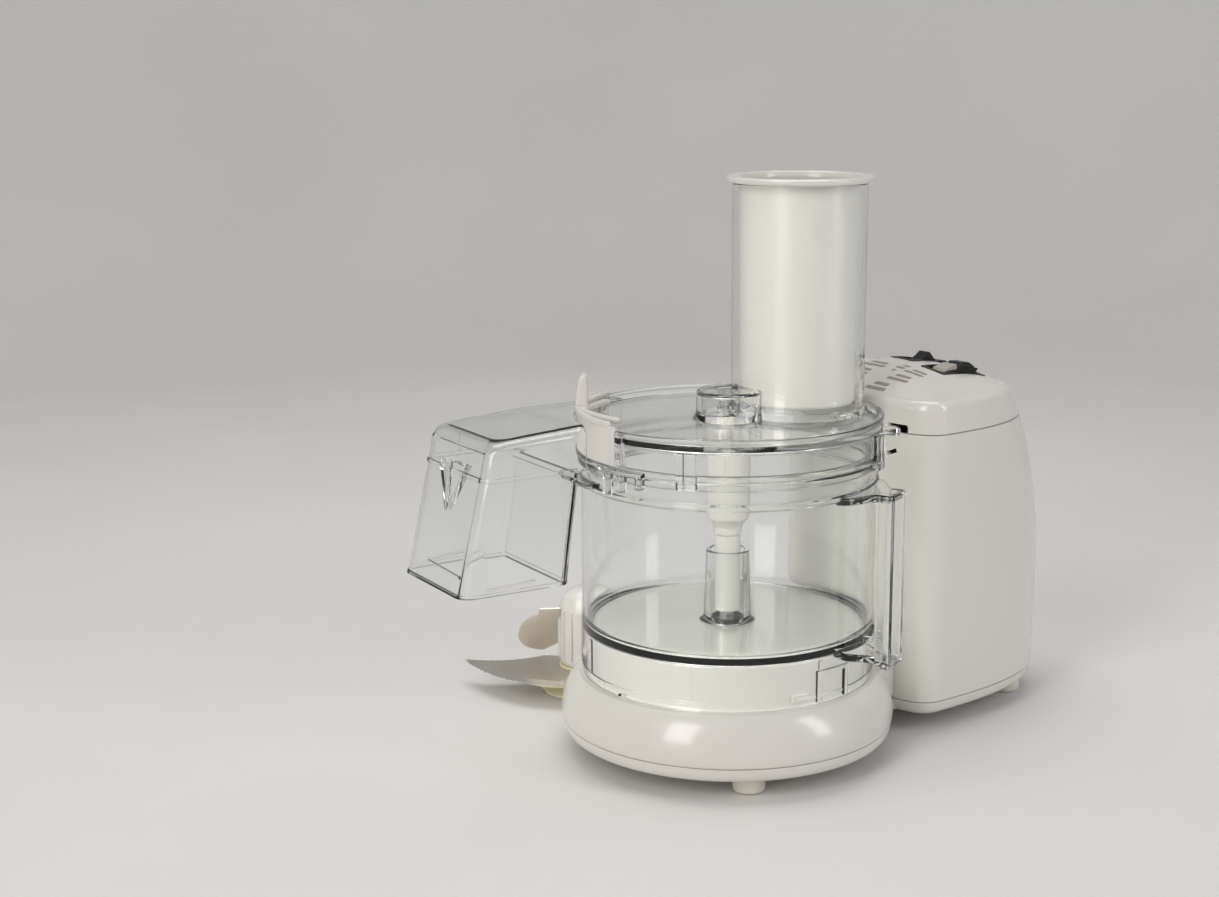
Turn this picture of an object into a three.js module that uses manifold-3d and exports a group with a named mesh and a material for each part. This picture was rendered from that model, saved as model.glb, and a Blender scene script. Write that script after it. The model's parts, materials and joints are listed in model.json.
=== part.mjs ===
// A bowl-and-tower food processor: drive base, motor tower, clear bowl, lid with a food chute, and S-blade.
// Millimetres, +Z up. The drive axis is X = 0, Y = 0 inside the machine group, the tower stands on its +X side,
// and the outer group moves the whole model so that its box's bottom centre is the origin.
import * as THREE from "three";
import { mergeVertices } from "three/addons/utils/BufferGeometryUtils.js";
import Module from "manifold-3d";

const wasm = await Module();
wasm.setup();

// ---- driving dimensions ----
const GAP = 0.4; // between pieces that touch
const BOX_CENTRE = { x: 35.3, y: 43 }; // middle of the whole model's box in machine coordinates
const BASE = { radius: 97.6, bottom: 10.2, seam: 19, ledge: 46.4, deck: 73, pedestal: 80, wall: 2.8 };
const TOWER = { face: 92, corner: 14, halfWidth: 65, reach: 236, wall: 2.8, seam: 183.5, edge: 203.5,
  crown: 209 };
const BOWL = { radius: 85, wall: 2.5, foot: 47, floor: 73.6, rim: 176.2, post: 14, postTop: 118 };
const LID = { radius: 88, wall: 2.4, ledge: 176.6, plate: 193, top: 200 };
const TUBE = { x: 49, y: -3.5, radius: 38.9, wall: 2.4, top: 328 };
const PUSHER = { topRadius: 35.2, footRadius: 33.2, wall: 2, foot: 200.6, flange: 42.4, top: 332 };
const GATE = { from: 112, to: 177, foot: 179.8 }; // degrees round the lid
const CHUTE = { turn: 5, wall: 2.4 }; // degrees the chute points away from -X
const STEM = { top: 189, shoulder: 141, neck: 135, foot: 82, radius: 11.8, sleeve: 7.5 };
const SHAFT = { radius: 4.5, bottom: 20.4, top: 126 };
const MOTOR = { x: 150, shaft: 4, low: 22.5, high: 156, stackLow: 84, stackHigh: 118, bore: 22.2, bearing: 8 };
const FAN = { radius: 27.2, hub: 9, low: 54, high: 66 };
const BELT = { from: 27.5, to: 36.5, thickness: 1.8, bigRadius: 48, smallRadius: 9 };
const BLADE = { x: -10.8, y: 129.1, hub: 17.2, height: 68, skirt: 28 };

// ---- materials ----
const paint = (color, roughness, metalness = 0) => (
  new THREE.MeshStandardMaterial({ color, roughness, metalness }));
const clear = paint(0xe6ebea, 0.08);
clear.transparent = true;
clear.opacity = 0.35;
const white = paint(0xe2ddd3, 0.3);
const cream = paint(0xd6cba6, 0.45);
const black = paint(0x141313, 0.4);
const greyPlastic = paint(0x6d6a66, 0.5);
const rubber = paint(0xcfc9bd, 0.8);
const darkRubber = paint(0x222120, 0.85);
const steel = paint(0xb9b6ae, 0.32, 1);
const lamination = paint(0x5d5a57, 0.5, 0.9);
const copper = paint(0xb26a35, 0.4, 1);
const brass = paint(0xc8a24f, 0.35, 1);

// ---- solids: geometry in, manifold out ----
function solid(geometry) {
  const bare = geometry.clone();
  for (const name of ["normal", "uv"]) bare.deleteAttribute(name);
  const merged = mergeVertices(bare, 1e-4);
  return new wasm.Manifold(new wasm.Mesh({
    numProp: 3,
    vertProperties: new Float32Array(merged.attributes.position.array),
    triVerts: new Uint32Array(merged.index.array),
  }));
}

function geometryOf(body) {
  const { vertProperties, triVerts } = body.getMesh();
  const geometry = new THREE.BufferGeometry();
  geometry.setAttribute("position", new THREE.BufferAttribute(new Float32Array(vertProperties), 3));
  geometry.setIndex(new THREE.BufferAttribute(new Uint32Array(triVerts), 1));
  geometry.computeVertexNormals();
  return geometry;
}

const machine = new THREE.Group();
machine.position.set(-BOX_CENTRE.x, -BOX_CENTRE.y, 0);

function piece(name, body, material) {
  const mesh = new THREE.Mesh(geometryOf(body), material);
  mesh.name = name;
  machine.add(mesh);
  return mesh;
}

// A turned solid about Z from [radius, z] pairs; the profile closes on itself or on the axis.
function turned(profile, segments = 64, x = 0, y = 0) {
  const points = profile.map(([r, z]) => new THREE.Vector2(r, z));
  const ring = points[0].x > 0;
  if (ring) points.push(points[0].clone());
  const geometry = new THREE.LatheGeometry(points, segments);
  return solid(geometry.rotateX(Math.PI / 2).translate(x, y, 0));
}

function disc(radius, from, to, x = 0, y = 0, segments = 40) {
  return turned([[0, from], [radius, from], [radius, to], [0, to]], segments, x, y);
}

function pipe(outer, inner, from, to, x = 0, y = 0, segments = 32) {
  return turned([[inner, from], [outer, from], [outer, to], [inner, to]], segments, x, y);
}

function block(x0, x1, y0, y1, z0, z1) {
  const geometry = new THREE.BoxGeometry(x1 - x0, y1 - y0, z1 - z0);
  return solid(geometry.translate((x0 + x1) / 2, (y0 + y1) / 2, (z0 + z1) / 2));
}

function prism(outline, from, to) {
  const shape = new THREE.Shape(outline.map(([x, y]) => new THREE.Vector2(x, y)));
  const geometry = new THREE.ExtrudeGeometry(shape, { depth: to - from, bevelEnabled: false });
  return solid(geometry.translate(0, 0, from));
}

function along(body, turn = [0, 0, 0], move = [0, 0, 0]) {
  const matrix = new THREE.Matrix4().makeRotationFromEuler(new THREE.Euler(...turn));
  return solid(geometryOf(body).applyMatrix4(matrix.setPosition(...move)));
}

const join = (...bodies) => bodies.reduce((sum, body) => sum.add(body));
const radians = THREE.MathUtils.degToRad;
const polar = (radius, degrees) => [radius * Math.cos(radians(degrees)), radius * Math.sin(radians(degrees))];

// A closed skin through stacked rings of equal length, each [[x, y, z], ...] counter-clockwise from above.
function loft(rings) {
  const count = rings[0].length;
  const index = [];
  for (let level = 0; level < rings.length - 1; level++) {
    for (let i = 0; i < count; i++) {
      const a = level * count + i;
      const b = level * count + (i + 1) % count;
      index.push(a, b, b + count, a, b + count, a + count);
    }
  }
  const positions = rings.flat(2);
  const capCentre = (ring) => [0, 1, 2].map((k) => ring.reduce((sum, p) => sum + p[k], 0) / count);
  const centre = positions.length / 3;
  positions.push(...capCentre(rings[0]), ...capCentre(rings.at(-1)));
  const last = (rings.length - 1) * count;
  for (let i = 0; i < count; i++) {
    const next = (i + 1) % count;
    index.push(centre, next, i, centre + 1, last + i, last + next);
  }
  const geometry = new THREE.BufferGeometry();
  geometry.setAttribute("position", new THREE.Float32BufferAttribute(positions, 3));
  geometry.setIndex(index);
  return solid(geometry);
}

// ---- tower plan: a nearly flat face towards the bowl and a round far side, deeper towards the foot ----
const TOWER_POINTS = 40;
const SWELL = 70; // height where the tower is deepest

function towerReach(z) {
  const over = Math.max(0, (z - SWELL) / (TOWER.edge - SWELL));
  const under = Math.max(0, (SWELL - z) / SWELL);
  return TOWER.reach - 36 * over ** 2.4 - 3 * under ** 2;
}

function towerRing(z, inset = 0, shrink = 1, reachZ = z) {
  const middle = TOWER.face + TOWER.corner;
  const ring = [];
  for (let i = 0; i < TOWER_POINTS; i++) {
    const t = (i + 0.5) / TOWER_POINTS * 2 * Math.PI;
    const [c, s] = [Math.cos(t), Math.sin(t)];
    const bulge = c > 0 ? 2 / 2.5 : 2 / 4;
    const depth = (c > 0 ? towerReach(reachZ) - middle : TOWER.corner) - inset;
    const x = middle + depth * Math.sign(c) * Math.abs(c) ** bulge;
    const y = (TOWER.halfWidth - inset) * Math.sign(s) * Math.abs(s) ** bulge;
    ring.push([MOTOR.x + (x - MOTOR.x) * shrink, y * shrink, z]);
  }
  return ring;
}

const towerBody = (levels, inset) => loft(levels.map((z) => towerRing(z, inset)));
const TOWER_LEVELS = [BASE.seam, 40, SWELL, 100, 130, 158, TOWER.seam];

const NECK = 44; // half width of the joint between round base and tower

function baseHousing() {
  const { seam, radius, ledge, pedestal, deck, wall } = BASE;
  const round = turned([[0, seam], [97, seam], [radius, 22], [97.2, 28], [95.4, 35], [92.6, 40.5], [89.8, 44.6],
    [87.2, ledge], [pedestal, ledge + 0.2], [pedestal, 71], [78, deck], [0, deck]], 48);
  const roundInside = turned([[0, seam - 1], [94.2, seam - 1], [94.8, 22], [94.4, 28], [92.6, 34.4], [90, 39.4],
    [87.2, 43.2], [pedestal - wall, 43.6], [pedestal - wall, deck - wall], [0, deck - wall]], 48);
  const boss = disc(15, 50, deck - 1);
  const neck = block(70, 106, -NECK, NECK, seam, 43.4);
  const beltPassage = block(60, 112, wall - NECK, NECK - wall, seam - 1, 40.6);
  const inletHole = along(disc(6.4, 0, 20), [-Math.PI / 2, 0, 0], [MOTOR.x, 52, 44]);
  const lugs = [20, 140, 260].map((angle) => {
    const lug = block(pedestal - 1, 82, -5, 5, 50, 54);
    return along(lug, [0, 0, radians(angle)]);
  });
  return join(round, neck, towerBody(TOWER_LEVELS, 0), ...lugs)
    .subtract(roundInside)
    .subtract(towerBody([seam - 1, ...TOWER_LEVELS.slice(1, -1), TOWER.seam + 1], TOWER.wall))
    .subtract(beltPassage)
    .add(boss)
    .subtract(disc(9, 40, deck + 1))
    .subtract(inletHole);
}

// ---- tower cap, with two recesses for the controls and a notch for the lid's tab ----
const ROCKER_AT = [{ y: 13 }, { y: -18.2 }];
const ROCKER = { x: 168, length: 38, width: 20 };
const NOTCH = { y0: -54, y1: -39, top: 190.5 };

function crownRings(lift, inset) {
  return [0.8, 0.6, 0.4, 0.2, 0.04].map((k) => {
    const z = TOWER.edge + lift + (TOWER.crown - TOWER.edge) * (1 - k * k);
    return towerRing(z, 6 + inset, k, TOWER.edge);
  });
}

function capSkin(lift = 0) {
  return loft([towerRing(TOWER.seam + GAP), towerRing(192, 0.4), towerRing(198, 0.9), towerRing(201.2, 1.8),
    towerRing(202.8, 3.4), towerRing(TOWER.edge + 0.3, 6), ...crownRings(lift, 0)]);
}

function towerCap() {
  const foot = TOWER.seam + GAP;
  const inside = loft([towerRing(foot - 1, TOWER.wall), towerRing(192, 3.2), towerRing(198, 4),
    towerRing(200.2, 5.6), towerRing(TOWER.edge - 2.6, 8.4), ...crownRings(-2.8, 2.4)]);
  const recesses = ROCKER_AT.map(({ y }) => block(ROCKER.x - ROCKER.length / 2, ROCKER.x + ROCKER.length / 2,
    y - ROCKER.width / 2, y + ROCKER.width / 2, 190, 215));
  const notch = block(TOWER.face - 2, TOWER.face + 12, NOTCH.y0, NOTCH.y1, foot - 2, NOTCH.top);
  return [...recesses, notch, inside].reduce((body, cut) => body.subtract(cut), capSkin());
}

function bottomPlate() {
  const top = BASE.seam - GAP;
  const tower = loft([towerRing(BASE.bottom, 6.4, 1, BASE.seam), towerRing(11.4, 3, 1, BASE.seam),
    towerRing(14, 1, 1, BASE.seam), towerRing(top, 0.2, 1, BASE.seam)]);
  const towerInside = loft([towerRing(13.2, 8, 1, BASE.seam), towerRing(15.6, 4.6, 1, BASE.seam),
    towerRing(top + 1, 3, 1, BASE.seam)]);
  const outside = [[0, BASE.bottom], [92.6, BASE.bottom], [94.8, 12], [96.2, 15], [96.8, top], [0, top]];
  const round = turned(outside, 48);
  const roundInside = turned([[0, 13.2], [91, 13.2], [93.4, 16], [94, top + 1], [0, top + 1]], 48);
  const neck = block(70, 104, -NECK, NECK, BASE.bottom + 1, top);
  return join(round, tower, neck).subtract(roundInside).subtract(towerInside)
    .subtract(block(80, 108, BASE.wall - NECK, NECK - BASE.wall, 13.2, top + 1))
    .add(pipe(11, 7, 12, top));
}

// ---- feet, screws and small hardware ----
const FEET = [polar(77, 120), polar(77, -120), [203, 33], [203, -33]];

function feet() {
  const profile = [[0, 0], [8.6, 0], [9.3, 0.8], [9, BASE.bottom - GAP], [0, BASE.bottom - GAP]];
  FEET.forEach(([x, y], i) => piece(`foot_${i + 1}`, turned(profile, 32, x, y), rubber));
}

function coverScrews() {
  const spots = [[128, 46], [128, -46]];
  spots.forEach(([x, y], i) => {
    const screw = join(disc(3.6, 13.6, 16, x, y, 16), disc(1.9, 15.8, 30, x, y, 12));
    piece(`cover_screw_${i + 1}`, screw, steel);
  });
}

// ---- bowl, with its centre post and handle ----
const HANDLE = { angle: -66, inner: 96, outer: 106, half: 11, low: 57.5, high: 163 };

function handleWeb(from, to) {
  const outline = [[78, -29], [88, -25], [94, -15], [98, -HANDLE.half + 1], [102, -HANDLE.half + 1],
    [102, HANDLE.half - 1], [98, HANDLE.half - 1], [94, 15], [88, 25], [78, 29]];
  return prism(outline, from, to);
}

function bowlHandle() {
  const { inner, outer, half, low, high } = HANDLE;
  const grip = prism([[inner + 2.6, -half], [outer - 3, -half], [outer, -half + 3], [outer, half - 3],
    [outer - 3, half], [inner + 2.6, half], [inner, half - 2.6], [inner, -half + 2.6]], low, high);
  const webs = join(handleWeb(low, low + 6), handleWeb(high - 6, high));
  const body = join(grip, webs).subtract(disc(BOWL.radius - 1.2, low - 2, high + 2));
  return along(body, [0, 0, radians(HANDLE.angle)]);
}

function bowl() {
  const { radius, wall, foot, floor, rim, post, postTop } = BOWL;
  const inner = radius - wall;
  const bead = radius + 1.4;
  const shell = turned([[inner, foot], [radius, foot], [radius, 160.5], [bead, 161.2], [bead, 163.2], [radius, 164],
    [radius, 171.6], [87.6, 172.4], [87.6, 175], [radius, 175.6], [radius, rim], [inner, rim], [inner, floor + 2.6],
    [post, floor + 2.6], [post - 1.6, postTop], [10, postTop], [10, floor], [inner, floor]], 56);
  return join(shell, bowlHandle());
}

// ---- lid with feed tube, hub and chute opening ----
function lidSector(inner, outer, z0, z1, from, to) {
  const steps = Math.ceil((to - from) / 5);
  const angles = Array.from({ length: steps + 1 }, (_, i) => from + (to - from) * i / steps);
  const outline = [...angles.map((a) => polar(outer, a)), ...angles.reverse().map((a) => polar(inner, a))];
  return prism(outline, z0, z1);
}

const LID_TAB = { angle: -26.5, reach: 102.2 };
const LID_LUGS = [-144, -60, 40]; // degrees round the skirt

function lid() {
  const inside = LID.radius - LID.wall;
  const shell = turned([[0, LID.plate], [inside, LID.plate], [inside, LID.ledge + 2.6], [79.6, LID.ledge + 2.6],
    [79.6, 163], [81.9, 163], [81.9, LID.ledge], [LID.radius, LID.ledge], [LID.radius, LID.top - 1],
    [LID.radius - 1, LID.top], [84.6, LID.top], [83.8, LID.plate + 2.6], [0, LID.plate + 2.6]], 56);
  const hub = turned([[15, LID.plate - 2], [19, LID.plate], [18.6, 211.4], [17.6, 212.4], [0, 212.4], [0, 209.6],
    [15, 209.6]], 40);
  const tube = disc(TUBE.radius, LID.plate - 3, TUBE.top, TUBE.x, TUBE.y, 40);
  const bore = disc(TUBE.radius - TUBE.wall, LID.plate - 5, TUBE.top + 1, TUBE.x, TUBE.y, 40);
  const opening = lidSector(80, 92, LID.ledge + 2.6, LID.top + 2, GATE.from - 1, GATE.to + 1);
  const plateEdge = lidSector(77.6, 84.8, LID.plate, LID.plate + 2.6, GATE.from - 3, GATE.to + 3);
  const rails = [GATE.from - 4, GATE.to + 3.6].map((angle) => lidSector(87, 91, 181, 199, angle - 1.6, angle + 1.6));
  const tab = along(block(86, LID_TAB.reach, -4.5, 4.5, 184.5, 189.5), [0, 0, radians(LID_TAB.angle)])
    .subtract(block(92.2, 110, -90, 0, 180, 195));
  const lugs = LID_LUGS.map((angle) => lidSector(87, 90.2, 177, 194, angle - 3, angle + 3));
  return join(shell.subtract(disc(15, LID.plate - 1, LID.plate + 4)), hub, tube, tab, ...rails, ...lugs)
    .subtract(disc(15, LID.plate - 1, 209.6))
    .subtract(bore)
    .subtract(opening)
    .add(plateEdge);
}

function pusher() {
  const { topRadius, footRadius, wall, foot, flange, top } = PUSHER;
  const lip = TUBE.top + GAP;
  return turned([[0, foot], [footRadius - 2, foot], [footRadius, foot + 2], [topRadius, lip], [flange - 0.8, lip],
    [flange, lip + 0.8], [flange, top - 1], [flange - 1.2, top], [topRadius - wall, top],
    [footRadius - wall, foot + 2.5], [0, foot + 2.5]], 40, TUBE.x, TUBE.y);
}

// ---- gate that closes the lid's side opening, with lip and finger ----
function chuteGate() {
  const skirt = lidSector(85.9, 88, GATE.foot, LID.top + 1.4, GATE.from, GATE.to);
  const lip = lidSector(80.4, 88.4, LID.top + 0.4, LID.top + 3, GATE.from, GATE.to);
  const finger = prism([[-2, 200.4], [3.2, 200.4], [4.4, 208], [4, 216], [2.4, 224], [0.6, 226.4], [-1.6, 226.4],
    [-3, 224.4], [-3, 216], [-2.6, 208]], -7, 7);
  const upright = along(finger, [Math.PI / 2, 0, 0], [85.6, 0, 0]);
  return join(skirt, lip, along(upright, [0, 0, radians(144)]));
}

// ---- chute: an open-bottomed hood; local +X runs outward, local +Y towards the back ----
function chuteHood(shrink) {
  const quad = (z, x0, x1, y0, y1, drop = 0) => [[x0 + shrink, y0 + shrink, z], [x1 - shrink, y0 + shrink, z - drop],
    [x1 - shrink, y1 - shrink, z - drop], [x0 + shrink, y1 - shrink, z]];
  const lower = loft([quad(shrink ? 105 : 109, 101, shrink ? 168.2 : 167, 14, 87), quad(174, 91.5, 148.5, 16, 81),
    quad(shrink ? 195.6 : 198, 90, 142, 17, 80, 3.6)]);
  const duct = loft([quad(174 - (shrink ? 6 : 0), 20, 100, 16.6, 80.6), quad(shrink ? 195.6 : 198, 20, 100, 17, 80)]);
  return join(lower, duct);
}

function chute() {
  const { wall } = CHUTE;
  const innerWall = loft([[[101, 14.4, 109], [103.4, 14.4, 109], [103.4, 86.6, 109], [101, 86.6, 109]],
    [[91.5, 16.4, 174], [93.9, 16.4, 174], [93.9, 80.6, 174], [91.5, 80.6, 174]]]);
  const hood = join(chuteHood(0).subtract(chuteHood(wall)), innerWall);
  const turn = [0, 0, Math.PI - radians(CHUTE.turn)];
  const mirrored = geometryOf(hood).applyMatrix4(new THREE.Matrix4().makeScale(1, -1, 1));
  mirrored.setIndex([...mirrored.index.array].reverse());
  return along(solid(mirrored), turn).subtract(disc(LID.radius + 0.8, 100, 210, 0, 0, 56))
    .subtract(lidSector(80, 92.4, 176, 204, GATE.to + 1, GATE.to + 8));
}

// ---- drive: belt, pulleys, shaft and disc stem ----
function driveShaft() {
  return turned([[0, SHAFT.bottom], [SHAFT.radius, SHAFT.bottom], [SHAFT.radius, SHAFT.top - 1],
    [SHAFT.radius - 1, SHAFT.top], [0, SHAFT.top]], 32);
}

function discStem() {
  const bore = SHAFT.radius + 0.2;
  return turned([[bore, STEM.foot], [STEM.sleeve, STEM.foot], [STEM.sleeve, STEM.neck - 1], [8.4, STEM.neck],
    [8.4, STEM.shoulder - 1], [STEM.radius, STEM.shoulder + 2], [STEM.radius, STEM.top - 2],
    [STEM.radius - 2, STEM.top], [4, STEM.top], [4, STEM.top + 6], [0, STEM.top + 6], [0, SHAFT.top + 1],
    [bore, SHAFT.top + 1]], 32);
}

function drivenPulley() {
  const { bigRadius, from, to } = BELT;
  const rim = turned([[bigRadius - 5, from - 1.5], [bigRadius + 2, from - 1.5], [bigRadius - GAP, from - 0.6],
    [bigRadius - GAP, to + 0.6], [bigRadius + 2, to + 1.5], [bigRadius - 5, to + 1.5]], 40);
  const hub = disc(11, from - 2.5, to + 5);
  const web = disc(bigRadius - 4, 30.5, 33.5);
  const holes = Array.from({ length: 6 }, (_, i) => disc(8, 28, 36, ...polar(28, 60 * i + 30), 16));
  return holes.reduce((body, hole) => body.subtract(hole), join(rim, web, hub))
    .subtract(disc(SHAFT.radius + GAP, 20, 50));
}

function motorPulley() {
  const { smallRadius, from, to } = BELT;
  return turned([[MOTOR.shaft + GAP, from - 2], [smallRadius + 2.4, from - 2], [smallRadius + 2.4, from - 0.8],
    [smallRadius - GAP, from - 0.6], [smallRadius - GAP, to + 0.6], [smallRadius + 2.4, to + 0.8],
    [smallRadius + 2.4, to + 2], [MOTOR.shaft + GAP, to + 2]], 40, MOTOR.x);
}

function beltOutline(offset) {
  const { bigRadius, smallRadius } = BELT;
  const lean = Math.acos((bigRadius - smallRadius) / MOTOR.x);
  const path = new THREE.Path();
  path.absarc(MOTOR.x, 0, smallRadius + offset, -lean, lean, false);
  path.absarc(0, 0, bigRadius + offset, lean, 2 * Math.PI - lean, false);
  return path;
}

function driveBelt() {
  const shape = new THREE.Shape(beltOutline(BELT.thickness).getPoints(20));
  shape.holes.push(new THREE.Path(beltOutline(0).getPoints(20)));
  const depth = BELT.to - BELT.from;
  return solid(new THREE.ExtrudeGeometry(shape, { depth, bevelEnabled: false }).translate(0, 0, BELT.from));
}

// ---- motor, built round the vertical shaft at MOTOR.x ----
function statorCore() {
  const { x, stackLow, stackHigh, bore } = MOTOR;
  const body = block(x - 36, x + 36, -30, 30, stackLow, stackHigh);
  const slots = [-24.6, 16].map((y) => block(x - 22, x + 22, y, y + 8.6, stackLow - 4, stackHigh + 4));
  return [disc(bore, stackLow - 4, stackHigh + 4, x), ...slots].reduce((core, gap) => core.subtract(gap), body);
}

function fieldCoil(side) {
  const { x, stackLow, stackHigh, bore } = MOTOR;
  const y = side > 0 ? 17 : -24;
  return block(x - 21.4, x + 21.4, y, y + 7, stackLow - 8, stackHigh + 8)
    .subtract(disc(bore + GAP, stackLow - 14, stackHigh + 12, x));
}

function armatureCore() {
  const { x, stackLow, stackHigh, bore } = MOTOR;
  return disc(bore - 0.8, stackLow - 2, stackHigh + 2, x, 0, 24)
    .subtract(disc(MOTOR.shaft + GAP, stackLow - 10, stackHigh + 10, x));
}

function coolingFan() {
  const { radius, hub, low, high } = FAN;
  const body = join(disc(hub, low, high, MOTOR.x), disc(radius, low, low + 2, MOTOR.x));
  const blades = Array.from({ length: 8 }, (_, i) => {
    const blade = block(hub - 1, radius, -0.9, 0.9, low + 1.5, high);
    return along(blade, [0, 0, i * Math.PI / 4], [MOTOR.x, 0, 0]);
  });
  return join(body, ...blades).subtract(disc(MOTOR.shaft + GAP, low - 4, high + 4, MOTOR.x));
}

function motorFrame(z, hole) {
  const plate = block(MOTOR.x - 34, MOTOR.x + 34, -12, 12, z, z + 4);
  const side = z > 100 ? [118.4, z + 1] : [z + 3, 83.6];
  const legs = [-34, 28].map((x) => block(MOTOR.x + x, MOTOR.x + x + 6, -12, 12, ...side));
  return join(plate, ...legs, disc(12, z, z + 8, MOTOR.x)).subtract(disc(hole, z - 5, z + 12, MOTOR.x));
}

function brush(side) {
  const x = MOTOR.x + (side > 0 ? 12 : -26);
  return block(x, x + 14, -4, 4, 128, 136);
}

function motor() {
  const { x, shaft, bearing, low, high } = MOTOR;
  const running = shaft + 0.05;
  piece("stator_core", statorCore(), lamination);
  piece("field_coil_front", fieldCoil(-1), copper);
  piece("field_coil_back", fieldCoil(1), copper);
  piece("motor_frame_upper", motorFrame(142, bearing + GAP), steel);
  piece("motor_frame_lower", motorFrame(44, bearing + GAP), steel);
  piece("motor_bearing_upper", pipe(bearing, running, 142.5, 149.5, x), brass);
  piece("motor_bearing_lower", pipe(bearing, running, 44.5, 51.5, x), brass);
  piece("brush_left", brush(-1), greyPlastic);
  piece("brush_right", brush(1), greyPlastic);
  piece("motor_shaft", disc(shaft, low, high, x, 0, 48), steel);
  piece("armature_core", armatureCore(), lamination);
  piece("commutator", pipe(10.8, shaft + GAP, 124, 139, x), copper);
  piece("cooling_fan", coolingFan(), greyPlastic);
  piece("motor_pulley", motorPulley(), greyPlastic);
}

// ---- controls on the cap ----
function rockerBezel(y) {
  const half = [ROCKER.length / 2 - GAP, ROCKER.width / 2 - GAP];
  const frame = block(ROCKER.x - half[0], ROCKER.x + half[0], y - half[1], y + half[1], 200, 210);
  return frame.subtract(block(ROCKER.x - half[0] + 1.6, ROCKER.x + half[0] - 1.6, y - half[1] + 1.6,
    y + half[1] - 1.6, 201.6, 212)).subtract(block(ROCKER.x - 5, ROCKER.x + 5, y - 4, y + 4, 198, 204))
    .intersect(capSkin(0.5));
}

// A rocker turns about a line along Y at PIVOT; its profile is drawn in X and Z.
const PIVOT = 206;

function rocker(y, profile) {
  const half = ROCKER.width / 2 - 3;
  return along(prism(profile, -half, half), [Math.PI / 2, 0, 0], [ROCKER.x, y, PIVOT]);
}

const SPEED_PROFILE = [[-14, 0.4], [-9, -2], [9, -2], [14, 0.4], [9, 1.2], [5.4, 3], [2.4, 9.4], [-0.6, 9.8],
  [-4.6, 5], [-9, 1.6]];
const PULSE_PROFILE = [[-14, 0.6], [-9, -2], [9, -2], [14, 1.6], [13.4, 3.2], [7, 2.6], [1, 1.4], [-6, 2.2],
  [-13.4, 3]];

function controls() {
  const names = ["speed", "pulse"];
  names.forEach((name, i) => {
    const { y } = ROCKER_AT[i];
    piece(`${name}_bezel`, rockerBezel(y), black);
    piece(`${name}_rocker`, rocker(y, i ? PULSE_PROFILE : SPEED_PROFILE), i ? greyPlastic : black);
    piece(`${name}_switch`, block(ROCKER.x - 14, ROCKER.x + 14, y - 7, y + 7, 176, 199.6), greyPlastic);
  });
}

// ---- lid interlock behind the notch ----
function interlock() {
  const y = (NOTCH.y0 + NOTCH.y1) / 2;
  const plunger = join(disc(2.4, 0, 14, 0, 0, 20), disc(3.8, 4, 5.5, 0, 0, 20));
  const aim = [0, Math.PI / 2, 0];
  piece("interlock_plunger", along(plunger, aim, [98.5, y, 186.8]), cream);
  piece("interlock_spring", along(pipe(3.6, 2.8, 0, 5, 0, 0, 20), aim, [107.6, y, 186.8]), steel);
  piece("interlock_switch", block(116, 132, y - 6, y + 6, 178, 192), black);
}

// ---- S-blade on the table: ribbed hub, flared foot, sickle and raised second blade ----
const SICKLE = { z: 15, thickness: 1.4, turn: 134 };

function bladeHub() {
  const { hub, height } = BLADE;
  const core = turned([[0, 17.6], [hub - 1.4, 17.6], [hub, 20], [hub, height - 15], [hub - 1.6, height - 8.5],
    [hub - 6, height - 3.2], [hub - 11, height - 0.8], [0, height]], 32);
  const ribs = Array.from({ length: 12 }, (_, i) => {
    const rib = block(hub - 1, hub + 0.7, -1, 1, 24, height - 16);
    return along(rib, [0, 0, i * Math.PI / 6]);
  });
  return along(join(core, ...ribs).subtract(disc(8.5, 10, 56)), [0, 0, 0], [BLADE.x, BLADE.y, 0]);
}

function bladeSkirt() {
  const { skirt } = BLADE;
  const flare = turned([[12.5, 0], [skirt, 0], [skirt, 1.6], [19.6, 7], [17, 11], [16.6, 17.2], [12.5, 17.2]], 32);
  const arm = prism([[0, 14], [3, 40], [20, 40], [36, 32], [14, 2]], 12.4, SICKLE.z - GAP);
  return join(flare, arm.subtract(disc(13, 10, 20)));
}

// The sickle's outline, its tip along +X: a bowed cutting edge and a hollow back.
function sickle() {
  const shape = new THREE.Shape();
  shape.moveTo(0, 14);
  shape.lineTo(2, 43);
  shape.bezierCurveTo(24, 47, 56, 38, 79.2, 0);
  shape.bezierCurveTo(62, 4, 44, 0, 30, -13);
  shape.lineTo(14, -13);
  shape.closePath();
  const { z, thickness } = SICKLE;
  const geometry = new THREE.ExtrudeGeometry(shape, { depth: thickness, bevelEnabled: false, curveSegments: 14 });
  return solid(geometry.translate(0, 0, z)).subtract(disc(17, 10, 20, 0, 0, 32));
}

function raisedBlade() {
  const shape = new THREE.Shape();
  shape.moveTo(15, 19);
  shape.lineTo(29, 18.6);
  shape.lineTo(30, 12.8);
  shape.bezierCurveTo(42, 9, 47, -6, 40, -14);
  shape.quadraticCurveTo(35, -18.4, 27, -18.2);
  shape.lineTo(15, -10);
  shape.closePath();
  const geometry = new THREE.ExtrudeGeometry(shape, { depth: 1.4, bevelEnabled: false, curveSegments: 12 });
  const upright = along(solid(geometry), [radians(62), 0, 0], [0, 0, 38.5]);
  return upright.subtract(disc(BLADE.hub + 1, 10, 80, 0, 0, 32));
}

function chopper() {
  const at = [BLADE.x, BLADE.y, 0];
  piece("blade_hub", bladeHub(), white);
  piece("blade_skirt", along(bladeSkirt(), [0, 0, radians(SICKLE.turn)], at), cream);
  piece("blade_lower", along(sickle(), [0, 0, radians(SICKLE.turn)], at), steel);
  piece("blade_upper", along(raisedBlade(), [0, 0, radians(144)], at), steel);
}

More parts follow.
